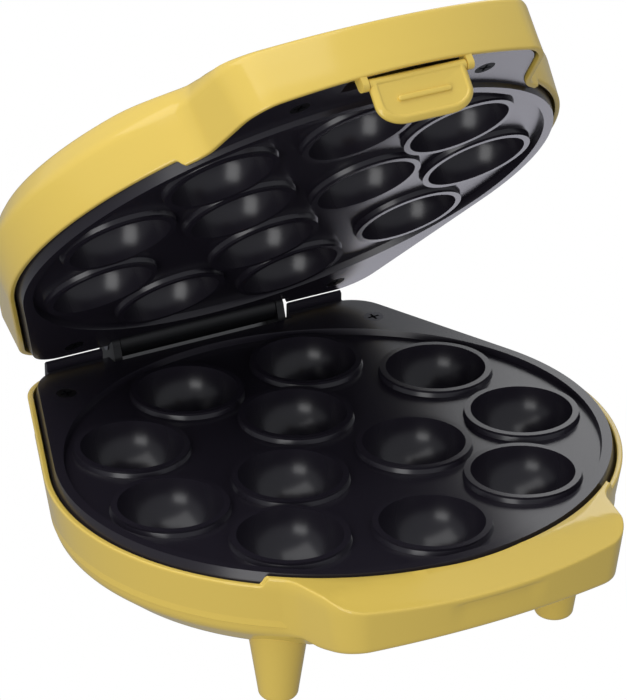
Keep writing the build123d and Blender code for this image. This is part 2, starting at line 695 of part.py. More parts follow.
with BuildPart() as lid_shell:
    add(lid_form(0.0, lid_nose_rim))
    add(rim_step(0.0), mode=Mode.SUBTRACT)
    add(lid_hollow.part, mode=Mode.SUBTRACT)
    # an ear each side of the latch
    for side in (-1, 1):
        middle = side * (latch_half_width + latch_gap + latch_ear_width / 2)
        with BuildSketch(Plane(origin=(middle, -latch_pivot_y, 0), x_dir=(0, 1, 0), z_dir=(1, 0, 0))):
            with Locations((0, latch_pivot_height)):
                Circle(latch_ear_radius)
                Rectangle(2 * latch_ear_radius, latch_ear_high - latch_pivot_height,
                          align=(Align.CENTER, Align.MIN))
        extrude(amount=latch_ear_width / 2, both=True)
    with Locations(Location((0, -latch_pivot_y, latch_pivot_height), (0, 90, 0))):
        Cylinder(latch_pin_radius + close_fit / 2, 2 * latch_pin_half, mode=Mode.SUBTRACT)
    # notch for the hinge, holes for the lenses and the screws
    with Locations((0, web_back, 0)):
        Box(2 * hinge_notch, 2 * (web_back - ear_front + 1), 2 * lid_web_top, mode=Mode.SUBTRACT)
    add(drill(lens_places, lid_crown - 2 * shell_wall, lid_crown + 1, lens_radius + close_fit),
        mode=Mode.SUBTRACT)
    add(drill(upper_rear_screws, 0, ridge_top + screw_length + 1, screw_shank + close_fit),
        mode=Mode.SUBTRACT)
    add(drill(upper_front_screws, 0, flange_height + screw_length + 1, screw_shank + close_fit),
        mode=Mode.SUBTRACT)
    add(drill(hinge_screw_places, 0, lid_tab_top - hinge_tab_thickness + small_screw_length,
              small_screw + close_fit), mode=Mode.SUBTRACT)
finish(lid_shell.part, "lid_shell", lid_place)

# ================================================================ indicator lamps
for side, name in ((-1, "power_lens"), (1, "ready_lens")):
    with BuildPart() as lens:
        with Locations((side * lens_x, lens_y, lid_crown)):
            Cylinder(lens_flange_radius, lens_flange, align=(Align.CENTER, Align.CENTER, Align.MIN))
            Cylinder(lens_radius, lens_length, align=(Align.CENTER, Align.CENTER, Align.MAX))
        fillet(lens.edges().group_by(Axis.Z)[-1], lens_flange / 2)
    finish(lens.part, name, lid_place)

holder_top = lid_crown - shell_wall
with BuildPart() as lamp_holder:
    with Locations((0, lens_y, holder_top)):
        Box(*holder_size, align=(Align.CENTER, Align.CENTER, Align.MAX))
    add(drill(lens_places, lid_crown - lens_length, lid_crown, lens_radius + close_fit), mode=Mode.SUBTRACT)
finish(lamp_holder.part, "lamp_holder", lid_place)

# ================================================================ hinge
hinge_axis = Location((0, hinge_y, hinge_rise), (0, 90, 0))
side_view = Plane(origin=(0, 0, 0), x_dir=(0, 1, 0), z_dir=(1, 0, 0))

with BuildPart() as base_hinge_block:
    with BuildSketch(side_view) as ear:
        with Locations((hinge_y, hinge_rise)):
            Circle(ear_radius)
        with BuildLine():
            Polyline(
                (ear_front, -base_web_top),
                (hinge_y - ear_radius * cos(radians(25)), hinge_rise + ear_radius * sin(radians(25))),
                (hinge_y + ear_radius, hinge_rise),
                (web_back, -base_web_top),
                (web_back, -base_web_bottom),
                (ear_front, -base_web_bottom),
                close=True,
            )
        make_face()
    extrude(amount=ear_outer, both=True)
    with Locations((0, hinge_y, -base_web_top)):
        Box(2 * ear_inner, 4 * ear_radius, 8 * ear_radius, align=(Align.CENTER, Align.CENTER, Align.MIN),
            mode=Mode.SUBTRACT)
    for x, y in hinge_screw_places:
        with Locations((x, hinge_tab_front, -base_web_bottom)):
            Box(hinge_tab_width, ear_front + 1 - hinge_tab_front, hinge_tab_thickness,
                align=(Align.CENTER, Align.MIN, Align.MIN))
    add(drill(hinge_screw_places, -base_web_bottom - 1, -base_web_top, small_screw + close_fit),
        mode=Mode.SUBTRACT)
    add(drill(hinge_screw_places, -hinge_tab_top, 0, small_head + 2 * pin_fit), mode=Mode.SUBTRACT)
    with Locations(hinge_axis):
        Cylinder(pin_radius + close_fit / 2, 4 * ear_outer, mode=Mode.SUBTRACT)
finish(base_hinge_block.part, "base_hinge_block", upright)

with BuildPart() as lid_hinge_block:
    with Locations(hinge_axis):
        Cylinder(barrel_radius, 2 * barrel_half)
    with Locations((0, lid_web_back, hinge_rise)):
        Box(2 * barrel_half, lid_web_back - hinge_y + barrel_radius, lid_web_top - hinge_rise,
            align=(Align.CENTER, Align.MAX, Align.MIN))
    with Locations((0, lid_web_back, lid_web_bottom)):
        Box(2 * barrel_half, lid_web_back - ear_front, lid_web_top - lid_web_bottom,
            align=(Align.CENTER, Align.MAX, Align.MIN))
    for x, y in hinge_screw_places:
        with Locations((x, hinge_tab_front, lid_tab_top)):
            Box(hinge_tab_width, ear_front + 1 - hinge_tab_front, hinge_tab_thickness,
                align=(Align.CENTER, Align.MIN, Align.MAX))
    add(drill(hinge_screw_places, 0, 2 * lid_web_top, small_screw + close_fit), mode=Mode.SUBTRACT)
    add(drill(hinge_screw_places, 0, lid_tab_top - hinge_tab_thickness, small_head + 2 * pin_fit),
        mode=Mode.SUBTRACT)
    with Locations(hinge_axis):
        Cylinder(pin_radius + pin_fit, 4 * ear_outer, mode=Mode.SUBTRACT)
finish(lid_hinge_block.part, "lid_hinge_block", lid_place)

with BuildPart() as hinge_pin:
    with Locations(hinge_axis):
        Cylinder(pin_radius, 2 * pin_half_length)
finish(hinge_pin.part, "hinge_pin", upright)

hinge_screw_set = screw_row(hinge_screw_places, hinge_tab_top - small_head_height, fine_screw)
finish(hinge_screw_set, "base_hinge_screws", base_place)
lid_head = lid_tab_top - hinge_tab_thickness - small_head_height
finish(screw_row(hinge_screw_places, lid_head, fine_screw), "lid_hinge_screws", lid_place)

# ================================================================ latch
latch_place = (
    lid_place
    * Location((0, -latch_pivot_y, latch_pivot_height))
    * Location((0, 0, 0), (latch_rest_angle, 0, 0))
    * Location((0, latch_pivot_y, -latch_pivot_height))
)
latch_axis = Location((0, -latch_pivot_y, latch_pivot_height), (0, 90, 0))
latch_face = latch_pivot_y + latch_barrel_radius
hook_reach = (
    latch_pivot_y - base_nose_front - latch_hook_gap - latch_hook_drop * sin(radians(latch_rest_angle))
) / cos(radians(latch_rest_angle))
with BuildPart() as latch:
    with BuildSketch(Plane(origin=(0, -latch_face, 0), x_dir=(1, 0, 0), z_dir=(0, -1, 0))) as face:
        with Locations((0, latch_pivot_height - latch_drop / 2)):
            Rectangle(2 * latch_half_width, latch_drop)
        fillet(face.vertices().group_by(Axis.Z)[0], latch_corner_radius)
    extrude(amount=-latch_thickness)
    with Locations(latch_axis):
        Cylinder(latch_barrel_radius, 2 * latch_half_width)
    with Locations((0, -latch_pivot_y, latch_pivot_height - latch_hook_drop)):
        Box(2 * latch_hook_half_width, hook_reach, latch_hook_height,
            align=(Align.CENTER, Align.MIN, Align.MAX))
    with Locations((0, -latch_face, latch_pivot_height - bar_drop)):
        Box(bar_length, 2 * bar_height, bar_width)
    with Locations(latch_axis):
        Cylinder(latch_pin_radius + pin_fit, 4 * latch_half_width, mode=Mode.SUBTRACT)
finish(latch.part, "latch", latch_place)

with BuildPart() as latch_pin:
    with Locations(latch_axis):
        Cylinder(latch_pin_radius, 2 * latch_pin_half)
finish(latch_pin.part, "latch_pin", lid_place)

# ================================================================ mains entry and wiring
with BuildPart() as cord_bushing:
    with BuildSketch(bushing_plane):
        Circle(bushing_radius)
        Circle(bushing_bore, mode=Mode.SUBTRACT)
    extrude(amount=bushing_flange)
    with BuildSketch(bushing_plane):
        Circle(bushing_neck)
        Circle(bushing_bore, mode=Mode.SUBTRACT)
    extrude(amount=-bushing_length)
finish(cord_bushing.part, "cord_bushing", base_place)

with BuildPart() as terminal_block:
    with Locations((terminal_x, terminal_y, base_floor - shell_wall)):
        Box(*terminal_size, align=(Align.CENTER, Align.CENTER, Align.MAX))
finish(terminal_block.part, "terminal_block", base_place)

# ================================================================ written with the origin in the middle
boxes = [piece.bounding_box() for piece in pieces]
middle_y = (min(box.min.Y for box in boxes) + max(box.max.Y for box in boxes)) / 2
for piece in pieces:
    centred = piece.moved(Location((0, -middle_y, 0)))
    centred.label = piece.label
    export_step(centred, f"parts/{centred.label}.step")
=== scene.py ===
"""Looks of the cake pop maker: detailed meshes, materials, lamps and the camera, on the CAD frame."""
import json
from math import cos, pi, radians, sin, sqrt

import bmesh
import bpy
import numpy as np
from mathutils import Matrix, Vector


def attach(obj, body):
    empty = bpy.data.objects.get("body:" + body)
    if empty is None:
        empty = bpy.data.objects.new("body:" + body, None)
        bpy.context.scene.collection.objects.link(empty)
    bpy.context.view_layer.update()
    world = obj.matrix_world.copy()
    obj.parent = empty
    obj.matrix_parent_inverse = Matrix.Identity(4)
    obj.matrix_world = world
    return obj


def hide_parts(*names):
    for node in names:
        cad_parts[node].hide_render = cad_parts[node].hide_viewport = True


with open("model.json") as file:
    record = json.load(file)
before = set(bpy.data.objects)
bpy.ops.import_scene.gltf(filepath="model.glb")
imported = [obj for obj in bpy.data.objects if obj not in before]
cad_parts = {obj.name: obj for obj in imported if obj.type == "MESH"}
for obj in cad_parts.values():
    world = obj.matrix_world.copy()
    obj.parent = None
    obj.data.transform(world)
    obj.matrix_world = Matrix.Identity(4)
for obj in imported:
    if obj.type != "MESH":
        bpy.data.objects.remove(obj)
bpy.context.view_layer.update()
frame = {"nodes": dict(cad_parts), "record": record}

MM = 0.001

# Sizes shared with the solids, in millimetres.  Both halves use one frame: z = 0 where the plates
# meet, growing away from it; the base is that frame turned over, the lid is it opened.
PARTING = 62.0
OPEN_ANGLE = 45.5           # degrees between the plates in the photographed pose
HINGE_Y, HINGE_Z = 114.5, 2.3
PLATE_HALF_WIDTH, PLATE_HALF_DEPTH, PLATE_BACK = 109.0, 103.0, 109.0
SIDE_ANGLE = radians(20)
BACK_CORNER = 17.0
SHELL_GROW = 4.3            # shell's outside beyond the plate's rim
SHELL_WALL = 2.2
OPENING_GROW = 1.9          # opening of the base round the plate's skirt
NOSE_HALF_WIDTH, NOSE_ROOT_HALF_WIDTH, NOSE_ROOT = 61.5, 72.5, 66.0
NOSE_CORNER, NOSE_NECK = 22.0, 28.0
NOSE_WINDOW, NOSE_START = 74.5, 60.0
SIDE_RIM = 4.0
BASE_FRONT, BASE_BOW = 121.3, 240.0
BASE_RIM, BASE_CREASE, BASE_CREASE_RUN = 0.4, 6.0, 18.0
BASE_BEAD, BASE_BEAD_DEPTH, BEAD_FADE = 8.0, 1.5, 1.4
CATCH_HALF_WIDTH, CATCH_FADE = 13.0, 9.0
BASE_EDGE, BASE_NOSE_EDGE, BASE_NOSE_RUN = 26.0, 20.2, 25.0
BASE_DRAFT, BASE_FLOOR, BASE_FLOOR_INSET = 3.5, 36.0, 12.0
LID_FRONT, LID_BOW = 132.0, 150.0
LID_RIM, LID_EDGE, LID_FLARE = 1.0, 22.0, 1.8
LID_SHOULDER_INSET, LID_CROWN, LID_CROWN_INSET = 8.0, 36.0, 34.0
LID_NOSE_TOP, LID_SLOPE_RUN = 20.5, 87.0
FEET = [(-61.0, -64.5), (61.0, -64.5), (-63.0, 71.0), (63.0, 71.0)]
FOOT_TOP, FOOT_TIP, FOOT_END, FOOT_ROUND, FOOT_ROOT = 11.0, 7.6, 61.4, 2.5, 28.0
FOOT_HOLLOW, FOOT_HOLLOW_DEPTH = 4.65, 0.6     # recess in the tip for the rubber pad
HINGE_NOTCH, EAR_FRONT, BASE_NOTCH, LID_NOTCH = 41.0, 105.2, 12.3, 12.2
NOTCH_BACK, NOTCH_START = 130.0, -5.0          # past the shells on both sides
LENS_X, LENS_Y, LENS_RADIUS = 9.0, -16.0, 3.55
LATCH_Y, LATCH_Z, LATCH_EAR = 127.5, -1.4, 2.4
LATCH_EAR_X, LATCH_EAR_WIDTH, LATCH_EAR_TOP = 21.7, 2.6, 7.0
LATCH_LEAN, LATCH_FACE, LATCH_BARREL, LATCH_HALF_WIDTH = 7.0, 129.5, 2.0, 20.0
LATCH_TOP, LATCH_BOTTOM, LATCH_TOP_CORNER, LATCH_CORNER = 0.5, -18.0, 1.6, (11.0, 8.0)
BAR_HALF_WIDTH, BAR_HALF_HEIGHT, BAR_DROP = 11.0, 1.0, 7.6
HOOK_HALF_WIDTH, HOOK_REACH, HOOK_TOP, HOOK_FOOT = 12.0, 4.85, 8.9, 10.9
# Insets from the latch's outline and depths behind its face, from its back round to its field
LATCH_PROFILE = [(0.7, 3.0), (0.2, 2.8), (0, 2.3), (0, 1.5), (0.12, 1.2), (0.45, 0.85), (1.2, 0.3), (1.5, 0.12),
                 (1.8, 0), (2.3, 0), (2.55, 0.1), (2.75, 0.3), (3.1, 0.35)]
BAR_PROFILE = [(0, 0.6), (0, -0.25), (0.1, -0.45), (0.35, -0.6), (0.7, -0.64)]
# Insets of the lid's rings from its edge over the bevel to the middle of its crown
LID_INSETS = (3.6, 5.0, 6.4, 7.2, 8.0, 9.0, 10.2, 13, 17, 22, 28, 33, 36, 44, 60, 80)

lid_joint = next(j for j in frame["record"]["behaviour"]["joints"] if j["name"] == "lid_hinge")
MIDDLE_Y = HINGE_Y - lid_joint["pos_m"][1] / MM    # middle of the cavities to the frame's origin

lid_matrix = (
    Matrix.Translation((0, (HINGE_Y - MIDDLE_Y) * MM, (PARTING + HINGE_Z) * MM))
    @ Matrix.Rotation(radians(-OPEN_ANGLE), 4, "X")
    @ Matrix.Translation((0, -HINGE_Y * MM, -HINGE_Z * MM))
)
base_matrix = Matrix.Translation((0, -MIDDLE_Y * MM, PARTING * MM)) @ Matrix.Scale(-1, 4, (0, 0, 1))


# ------------------------------------------------------------------ materials
def linear(hex_colour):
    """sRGB hex to linear RGBA."""
    channels = [int(hex_colour[i:i + 2], 16) / 255 for i in (1, 3, 5)]
    return [c / 12.92 if c <= 0.04045 else ((c + 0.055) / 1.055) ** 2.4 for c in channels] + [1.0]


def nodes_of(name):
    """A new material with its node tree and its Principled shader."""
    material = bpy.data.materials.new(name)
    material.use_nodes = True
    tree = material.node_tree
    return material, tree, tree.nodes["Principled BSDF"]


def add_node(tree, kind, links=(), **values):
    """Adds a shader node; values are sockets or settings, links are (output, input socket) pairs."""
    node = tree.nodes.new(kind)
    for key, value in values.items():
        if key in node.inputs:
            node.inputs[key].default_value = value
        else:
            setattr(node, key, value)
    for output, socket in links:
        tree.links.new(output, node.inputs[socket])
    return node


def plain(name, colour, roughness, metallic=0.0, coat=0.0):
    """Uniform material."""
    material, tree, shader = nodes_of(name)
    shader.inputs["Base Color"].default_value = linear(colour)
    shader.inputs["Roughness"].default_value = roughness
    shader.inputs["Metallic"].default_value = metallic
    shader.inputs["Coat Weight"].default_value = coat
    return material


def grained(name, colour, roughness, grain_mm, depth_mm, metallic=0.0, coat=0.0):
    """Uniform colour with a fine surface grain of a real size."""
    material = plain(name, colour, roughness, metallic, coat)
    tree = material.node_tree
    shader = tree.nodes["Principled BSDF"]
    place = add_node(tree, "ShaderNodeTexCoord")
    noise = add_node(tree, "ShaderNodeTexNoise", [(place.outputs["Object"], "Vector")],
                     Scale=1 / (grain_mm * MM), Detail=2.0)
    bump = add_node(tree, "ShaderNodeBump", [(noise.outputs["Fac"], "Height")],
                    Strength=1.0, Distance=depth_mm * MM)
    tree.links.new(bump.outputs["Normal"], shader.inputs["Normal"])
    return material


# ABS, injection moulded in a polished tool: warm yellow right through, glossy, with a faint slow ripple
shell_plastic = grained("moulded_yellow_abs", "#EDCD62", 0.15, 6.0, 0.003)
# cast aluminium with a sprayed and baked non-stick coating: near black, satin, faintly purple, finely pebbled
plate_coating = grained("baked_nonstick_coating", "#232028", 0.25, 0.5, 0.005)
# glass-filled nylon with a spark-eroded texture: black, dull, with a fine grain
hinge_plastic = grained("moulded_black_nylon", "#111113", 0.42, 0.4, 0.01)
# moulded rubber: black and matt
foot_rubber = grained("moulded_black_rubber", "#161616", 0.7, 0.5, 0.02)
# zinc-plated steel given a dark grey of painted shade, for the dark look of the screws down in the plate, with
# a soft metallic shine
screw_steel = plain("zinc_plated_steel_with_painted_shade", "#3C3C42", 0.4, 1.0)
# ground steel, darkened to grey as painted shade for the dark hinge it sits in, with a narrower shine
pin_steel = plain("ground_steel_with_painted_shade", "#6C6C72", 0.35, 1.0)
# steel tube that heat has tinted brown
heater_steel = plain("heat_tinted_steel_tube", "#6E655C", 0.4, 1.0)
# rolled aluminium sheet: pale and bright
pan_metal = plain("rolled_aluminium_sheet", "#D5D6D8", 0.3, 1.0)
# moulded phenolic: dark brown, half matt
control_plastic = plain("moulded_brown_phenolic", "#2B1E17", 0.5)
# moulded white nylon, half matt
terminal_plastic = plain("moulded_white_nylon", "#D8D6CE", 0.45)
# tinted acrylic, moulded smooth: glossy, strong in colour
red_lens = plain("tinted_red_acrylic", "#A81410", 0.08)
green_lens = plain("tinted_green_acrylic", "#0E8A2C", 0.08)

by_slot = {
    "shell_plastic": shell_plastic,
    "plate_coating": plate_coating,
    "hinge_plastic": hinge_plastic,
    "foot_rubber": foot_rubber,
    "screw_steel": screw_steel,
    "pin_steel": pin_steel,
    "heater_steel": heater_steel,
    "pan_metal": pan_metal,
    "control_plastic": control_plastic,
    "terminal_plastic": terminal_plastic,
    "power_lens_plastic": red_lens,
    "ready_lens_plastic": green_lens,
}
slot_of = {entry["node"]: entry["material_slot"] for entry in frame["record"]["subparts"]}
for name, solid in frame["nodes"].items():
    solid.data.materials.clear()
    solid.data.materials.append(by_slot[slot_of[name]])

# ------------------------------------------------------------------ plan outlines along rays
RAYS = 720
angles = np.linspace(0, 2 * pi, RAYS, endpoint=False)
ray_x, ray_y = np.cos(angles), np.sin(angles)


def softened(radius, corner_angle):
    """Blend width that gives meet and join about this radius where two edges make that angle."""
    return np.maximum(radius, 0.5) * (1 - sin(radians(corner_angle) / 2)) / (1 - sqrt(0.5))


def meet(a, b, width):
    """Signed distance inside both, with the corner rounded."""
    rounded = np.hypot(np.maximum(a + width, 0), np.maximum(b + width, 0))
    return np.minimum(np.maximum(a, b), -width) + rounded


def join(a, b, width):
    """Signed distance inside either, with the inner corner filled."""
    rounded = np.hypot(np.maximum(width - a, 0), np.maximum(width - b, 0))
    return np.maximum(np.minimum(a, b), width) - rounded


def drum_distance(x, y, grow):
    """Distance outside the oval drum with its straight sides and rounded rear corners."""
    half_width, half_depth, back = PLATE_HALF_WIDTH + grow, PLATE_HALF_DEPTH + grow, PLATE_BACK + grow
    side_x, side_y = half_width * cos(SIDE_ANGLE), half_depth * sin(SIDE_ANGLE)
    slope = half_width * sin(SIDE_ANGLE) / (half_depth * cos(SIDE_ANGLE))
    reach = np.hypot(x, y)
    oval = reach - reach / np.hypot(x / half_width, y / half_depth)
    straight = (np.abs(x) - side_x + (y - side_y) * slope) / np.sqrt(1 + slope**2)
    return meet(np.where(y < side_y, oval, straight), y - back, softened(BACK_CORNER + grow, 111))


def nose_distance(x, y, grow, front, bow):
    """Distance outside the handle nose: two slanted flanks and a bowed front."""
    shrink = SHELL_GROW - grow
    corner, root = NOSE_HALF_WIDTH - shrink, NOSE_ROOT_HALF_WIDTH - shrink
    corner_y = bow - front - np.sqrt(bow**2 - corner**2)
    slant = (root - corner) / (-NOSE_ROOT - corner_y)
    flank = (np.abs(x) - corner - (y - corner_y) * slant) / np.sqrt(1 + slant**2)
    bowed = np.hypot(x, y + front - bow) - bow
    return np.maximum(meet(flank, bowed, softened(NOSE_CORNER - shrink, 125)), y + NOSE_ROOT)


def outline(grow, front=None, bow=None):
    """Points of the plan outline, one on each ray; grow and front may vary from ray to ray."""
    grow = np.broadcast_to(np.asarray(grow, float), angles.shape)
    low, high = np.full(RAYS, 5.0), np.full(RAYS, 190.0)
    for _ in range(34):
        middle = (low + high) / 2
        x, y = middle * ray_x, middle * ray_y
        distance = drum_distance(x, y, grow)
        if front is not None:
            width = softened(NOSE_NECK + SHELL_GROW - grow, 151)
            distance = join(distance, nose_distance(x, y, grow, front, bow), width)
        outside = distance > 0
        low, high = np.where(outside, low, middle), np.where(outside, middle, high)
    return np.stack([low * ray_x, low * ray_y], 1)


def raised(plan, height):
    """Plan points at one height, or at one height each."""
    return np.column_stack([plan, np.broadcast_to(height, len(plan))])


def bent(first, corner, last, steps):
    """Rings of a rounded edge between two rings, round the ring of the sharp corner."""
    shares = [(step + 1) / (steps + 1) for step in range(steps)]
    return [(1 - t) ** 2 * first + 2 * t * (1 - t) * corner + t**2 * last for t in shares]


def smooth_least(a, b, width):
    """The lower of two heights, blended where they cross."""
    share = np.maximum(width - np.abs(a - b), 0) / width
    return np.minimum(a, b) - share**2 * width / 4


def eased(share):
    """Zero to one with level ends."""
    share = np.clip(share, 0, 1)
    return (3 - 2 * share) * share**2


# ------------------------------------------------------------------ meshes
def mesh_object(name, vertices, faces, matrix, material):
    """Object of a closed mesh given in millimetres in a half frame."""
    data = bpy.data.meshes.new(name)
    data.from_pydata([tuple(v) for v in np.asarray(vertices) * MM], [], faces)
    shape = bmesh.new()
    shape.from_mesh(data)
    bmesh.ops.transform(shape, matrix=matrix, verts=shape.verts)
    bmesh.ops.recalc_face_normals(shape, faces=shape.faces)
    shape.to_mesh(data)
    shape.free()
    data.materials.append(material)
    made = bpy.data.objects.new(name, data)
    bpy.context.scene.collection.objects.link(made)
    return made


def ringed(name, rings, matrix, material):
    """Closed skin through rings of equal counts, its two ends closed at their middles."""
    count = len(rings[0])
    vertices = np.vstack([*rings, rings[0].mean(0), rings[-1].mean(0)])
    faces = []
    for ring in range(len(rings) - 1):
        for k in range(count):
            near, following = ring * count + k, ring * count + (k + 1) % count
            faces.append((near, following, following + count, near + count))
    first, last = len(vertices) - 2, len(vertices) - 1
    end = (len(rings) - 1) * count
    faces += [(first, (k + 1) % count, k) for k in range(count)]
    faces += [(last, end + k, end + (k + 1) % count) for k in range(count)]
    return mesh_object(name, vertices, faces, matrix, material)


def lathe(name, profile, centre, matrix, material, steps=96):
    """Closed solid turned about a vertical line; profile is (radius, height) pairs."""
    turn = np.linspace(0, 2 * pi, steps, endpoint=False)
    rings = [np.column_stack([centre[0] + r * np.cos(turn), centre[1] + r * np.sin(turn), np.full(steps, z)])
             for r, z in profile]
    return ringed(name, rings, matrix, material)


def block(name, low, high, matrix, material):
    """Box between two corners."""
    (x0, y0, z0), (x1, y1, z1) = low, high
    vertices = [(x, y, z) for x in (x0, x1) for y in (y0, y1) for z in (z0, z1)]
    faces = [(0, 1, 3, 2), (4, 6, 7, 5), (0, 4, 5, 1), (2, 3, 7, 6), (0, 2, 6, 4), (1, 5, 7, 3)]
    return mesh_object(name, vertices, faces, matrix, material)


def combined(target, tools, operation):
    """Adds or cuts the tools, which then go."""
    for tool in tools:
        step = target.modifiers.new(tool.name, "BOOLEAN")
        step.operation = operation
        step.solver = "EXACT"
        step.object = tool
    graph = bpy.context.evaluated_depsgraph_get()
    made = bpy.data.meshes.new_from_object(target.evaluated_get(graph))
    target.modifiers.clear()
    target.data = made
    for tool in tools:
        bpy.data.objects.remove(tool)


def shaded(piece, sharp_degrees=34):
    """Smooth faces with sharp edges where they turn by more than this."""
    piece.data.shade_smooth()
    piece.data.set_sharp_from_angle(angle=radians(sharp_degrees))


def dress(piece, body, slot_name, *nodes):
    """The piece stands for CAD nodes and moves with their body."""
    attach(piece, body)
    if nodes:
        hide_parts(*nodes)


def on_nose(plan, side_value, nose_value):
    """One value on the side rims and another on the handle nose, stepped over 1.5 mm."""
    x, y = np.abs(plan[:, 0]), plan[:, 1]
    share = np.clip((NOSE_WINDOW - x) / 1.5 + 0.5, 0, 1) * (y < -NOSE_START)
    return side_value + (nose_value - side_value) * share


# ------------------------------------------------------------------ base shell
def base_rim_height(plan):
    """Top face of the base's rim: level at the sides, sloping down to the front of the nose."""
    slope = (BASE_CREASE - BASE_RIM) / BASE_CREASE_RUN
    run = -plan[:, 1] - (BASE_FRONT - BASE_CREASE_RUN)
    return on_nose(plan, SIDE_RIM, BASE_RIM + slope * np.maximum(run, 0))


def base_wall(height, front=BASE_FRONT, inset=0.0):
    """Ring on the base's outer wall at a height."""
    grow = SHELL_GROW - inset - BASE_DRAFT * np.maximum(height - SIDE_RIM, 0) / (BASE_EDGE - SIDE_RIM)
    return raised(outline(grow, front - inset, BASE_BOW), height)


def base_under(plan):
    """Height of the base's lower edge or of the nose's sloping underside."""
    slope = (BASE_EDGE - BASE_NOSE_EDGE) / BASE_NOSE_RUN
    return BASE_EDGE - slope * np.maximum(-plan[:, 1] - (BASE_FRONT - BASE_NOSE_RUN), 0)


def base_bottom(plan):
    """Height of the base's underside: floor, bevel and the underside of the nose."""
    drum = drum_distance(plan[:, 0], plan[:, 1], SHELL_GROW - BASE_DRAFT)
    rise = np.clip(-drum, 0, BASE_FLOOR_INSET) * (BASE_FLOOR - BASE_EDGE) / BASE_FLOOR_INSET
    return base_under(plan) * (drum > 0) + (drum <= 0) * np.maximum(BASE_EDGE + rise, base_under(plan))


def base_rings():
    """Rings of the base shell from its inner floor over the rim to its underside."""
    opening = outline(OPENING_GROW)
    lip = outline(OPENING_GROW + 0.5)
    top_edge = outline(SHELL_GROW - 1.0, BASE_FRONT - 1.0, BASE_BOW)
    inner_floor = BASE_FLOOR - SHELL_WALL
    rings = [raised(opening * share, inner_floor) for share in (0.3, 0.6, 0.85)]
    rim = base_rim_height(opening)
    rings += [raised(opening, inner_floor - 12), raised(opening, rim + 2), raised(opening, rim + 0.5),
              raised(outline(OPENING_GROW + 0.15), rim + 0.15)]
    for share in (0.0, 0.2, 0.4, 0.6, 0.8, 1.0):
        plan = lip + (top_edge - lip) * share
        rings.append(raised(plan, base_rim_height(plan)))
    edge_height = base_rim_height(top_edge)
    rings += bent(rings[-1], base_wall(edge_height), base_wall(edge_height + 1.0), 3)
    start = edge_height + 1.0
    recessed = BASE_FRONT - BASE_BEAD_DEPTH
    low = base_under(outline(SHELL_GROW - BASE_DRAFT, recessed, BASE_BOW))
    bead_top, bead_foot, wall_foot = BASE_BEAD - 1.0, BASE_BEAD + BEAD_FADE, low - 2.5
    aside = BASE_FRONT * np.abs(ray_x) / np.maximum(-ray_y, 0.01)
    caught = 1 - eased((aside - CATCH_HALF_WIDTH) / CATCH_FADE)
    heights = [start + (bead_top - start) * share for share in (0, 0.5, 1)]
    heights += [np.full(RAYS, bead_top + (bead_foot - bead_top) * share) for share in (0.25, 0.5, 0.75, 1)]
    heights += [bead_foot + (wall_foot - bead_foot) * share for share in (0.33, 0.66, 1)]
    for height in heights:
        under_bead = eased((height - bead_top) / (bead_foot - bead_top))
        even = np.clip((height - start) / (wall_foot - start), 0, 1)
        recess = BASE_BEAD_DEPTH * (caught * under_bead + (1 - caught) * even)
        rings.append(base_wall(height, BASE_FRONT - recess))
    inner = outline(SHELL_GROW - BASE_DRAFT - 2.5, recessed - 2.5, BASE_BOW)
    under = raised(inner, base_bottom(inner))
    rings += bent(rings[-1], base_wall(low, recessed), under, 5)
    rings.append(under)
    for inset in (4.5, 7.0, 9.5, BASE_FLOOR_INSET - 0.6, BASE_FLOOR_INSET + 1.2):
        plan = outline(SHELL_GROW - BASE_DRAFT - inset, recessed - inset, BASE_BOW)
        rings.append(raised(plan, base_bottom(plan)))
    rings += [raised(rings[-1][:, :2] * share, BASE_FLOOR) for share in (0.75, 0.4)]
    return rings


base_shell = ringed("base_shell_skin", base_rings(), base_matrix, shell_plastic)
foot_profile = [(FOOT_TOP - 2, FOOT_ROOT), (FOOT_TOP + 0.3, FOOT_ROOT + 0.5), (FOOT_TOP, BASE_FLOOR)]
foot_profile += [(FOOT_TIP + FOOT_ROUND * (cos(t) - 1), FOOT_END - FOOT_ROUND * (1 - sin(t)))
                 for t in np.linspace(0, pi / 2, 7)]
foot_profile += [(FOOT_HOLLOW, FOOT_END), (FOOT_HOLLOW, FOOT_END - FOOT_HOLLOW_DEPTH)]
feet = [lathe(f"foot_{k}", foot_profile, place, base_matrix, shell_plastic) for k, place in enumerate(FEET)]
combined(base_shell, feet, "UNION")
notch = block("notch", (-HINGE_NOTCH, EAR_FRONT, NOTCH_START), (HINGE_NOTCH, NOTCH_BACK, BASE_NOTCH),
              base_matrix, shell_plastic)
combined(base_shell, [notch], "DIFFERENCE")
shaded(base_shell)
dress(base_shell, "base", "shell_plastic", "base_shell")


# ------------------------------------------------------------------ lid shell
def lid_plane(plan):
    """Height of the plane that slopes down to the front of the nose."""
    return LID_NOSE_TOP + (plan[:, 1] + LID_FRONT) * (LID_CROWN - LID_NOSE_TOP) / LID_SLOPE_RUN


def lid_wall(height, inset=0.0):
    """Ring on the lid's outer wall at a height."""
    share = np.clip((height - SIDE_RIM) / (LID_EDGE - SIDE_RIM), 0, 1)
    return raised(outline(SHELL_GROW - inset + LID_FLARE * share, LID_FRONT - inset, LID_BOW), height)


def lid_top(inset, drop=0.0):
    """Ring on the lid's bevel and crown, this far in from its edge."""
    plan = outline(SHELL_GROW + LID_FLARE - inset, LID_FRONT - inset, LID_BOW)
    shoulder = LID_SHOULDER_INSET
    height = np.interp(inset, (0, shoulder - 1.6, shoulder, shoulder + 2.2, LID_CROWN_INSET),
                       (LID_EDGE, 30.6, 32.1, 32.8, LID_CROWN))
    return raised(plan, smooth_least(np.full(RAYS, height), lid_plane(plan), 1.2) - drop)


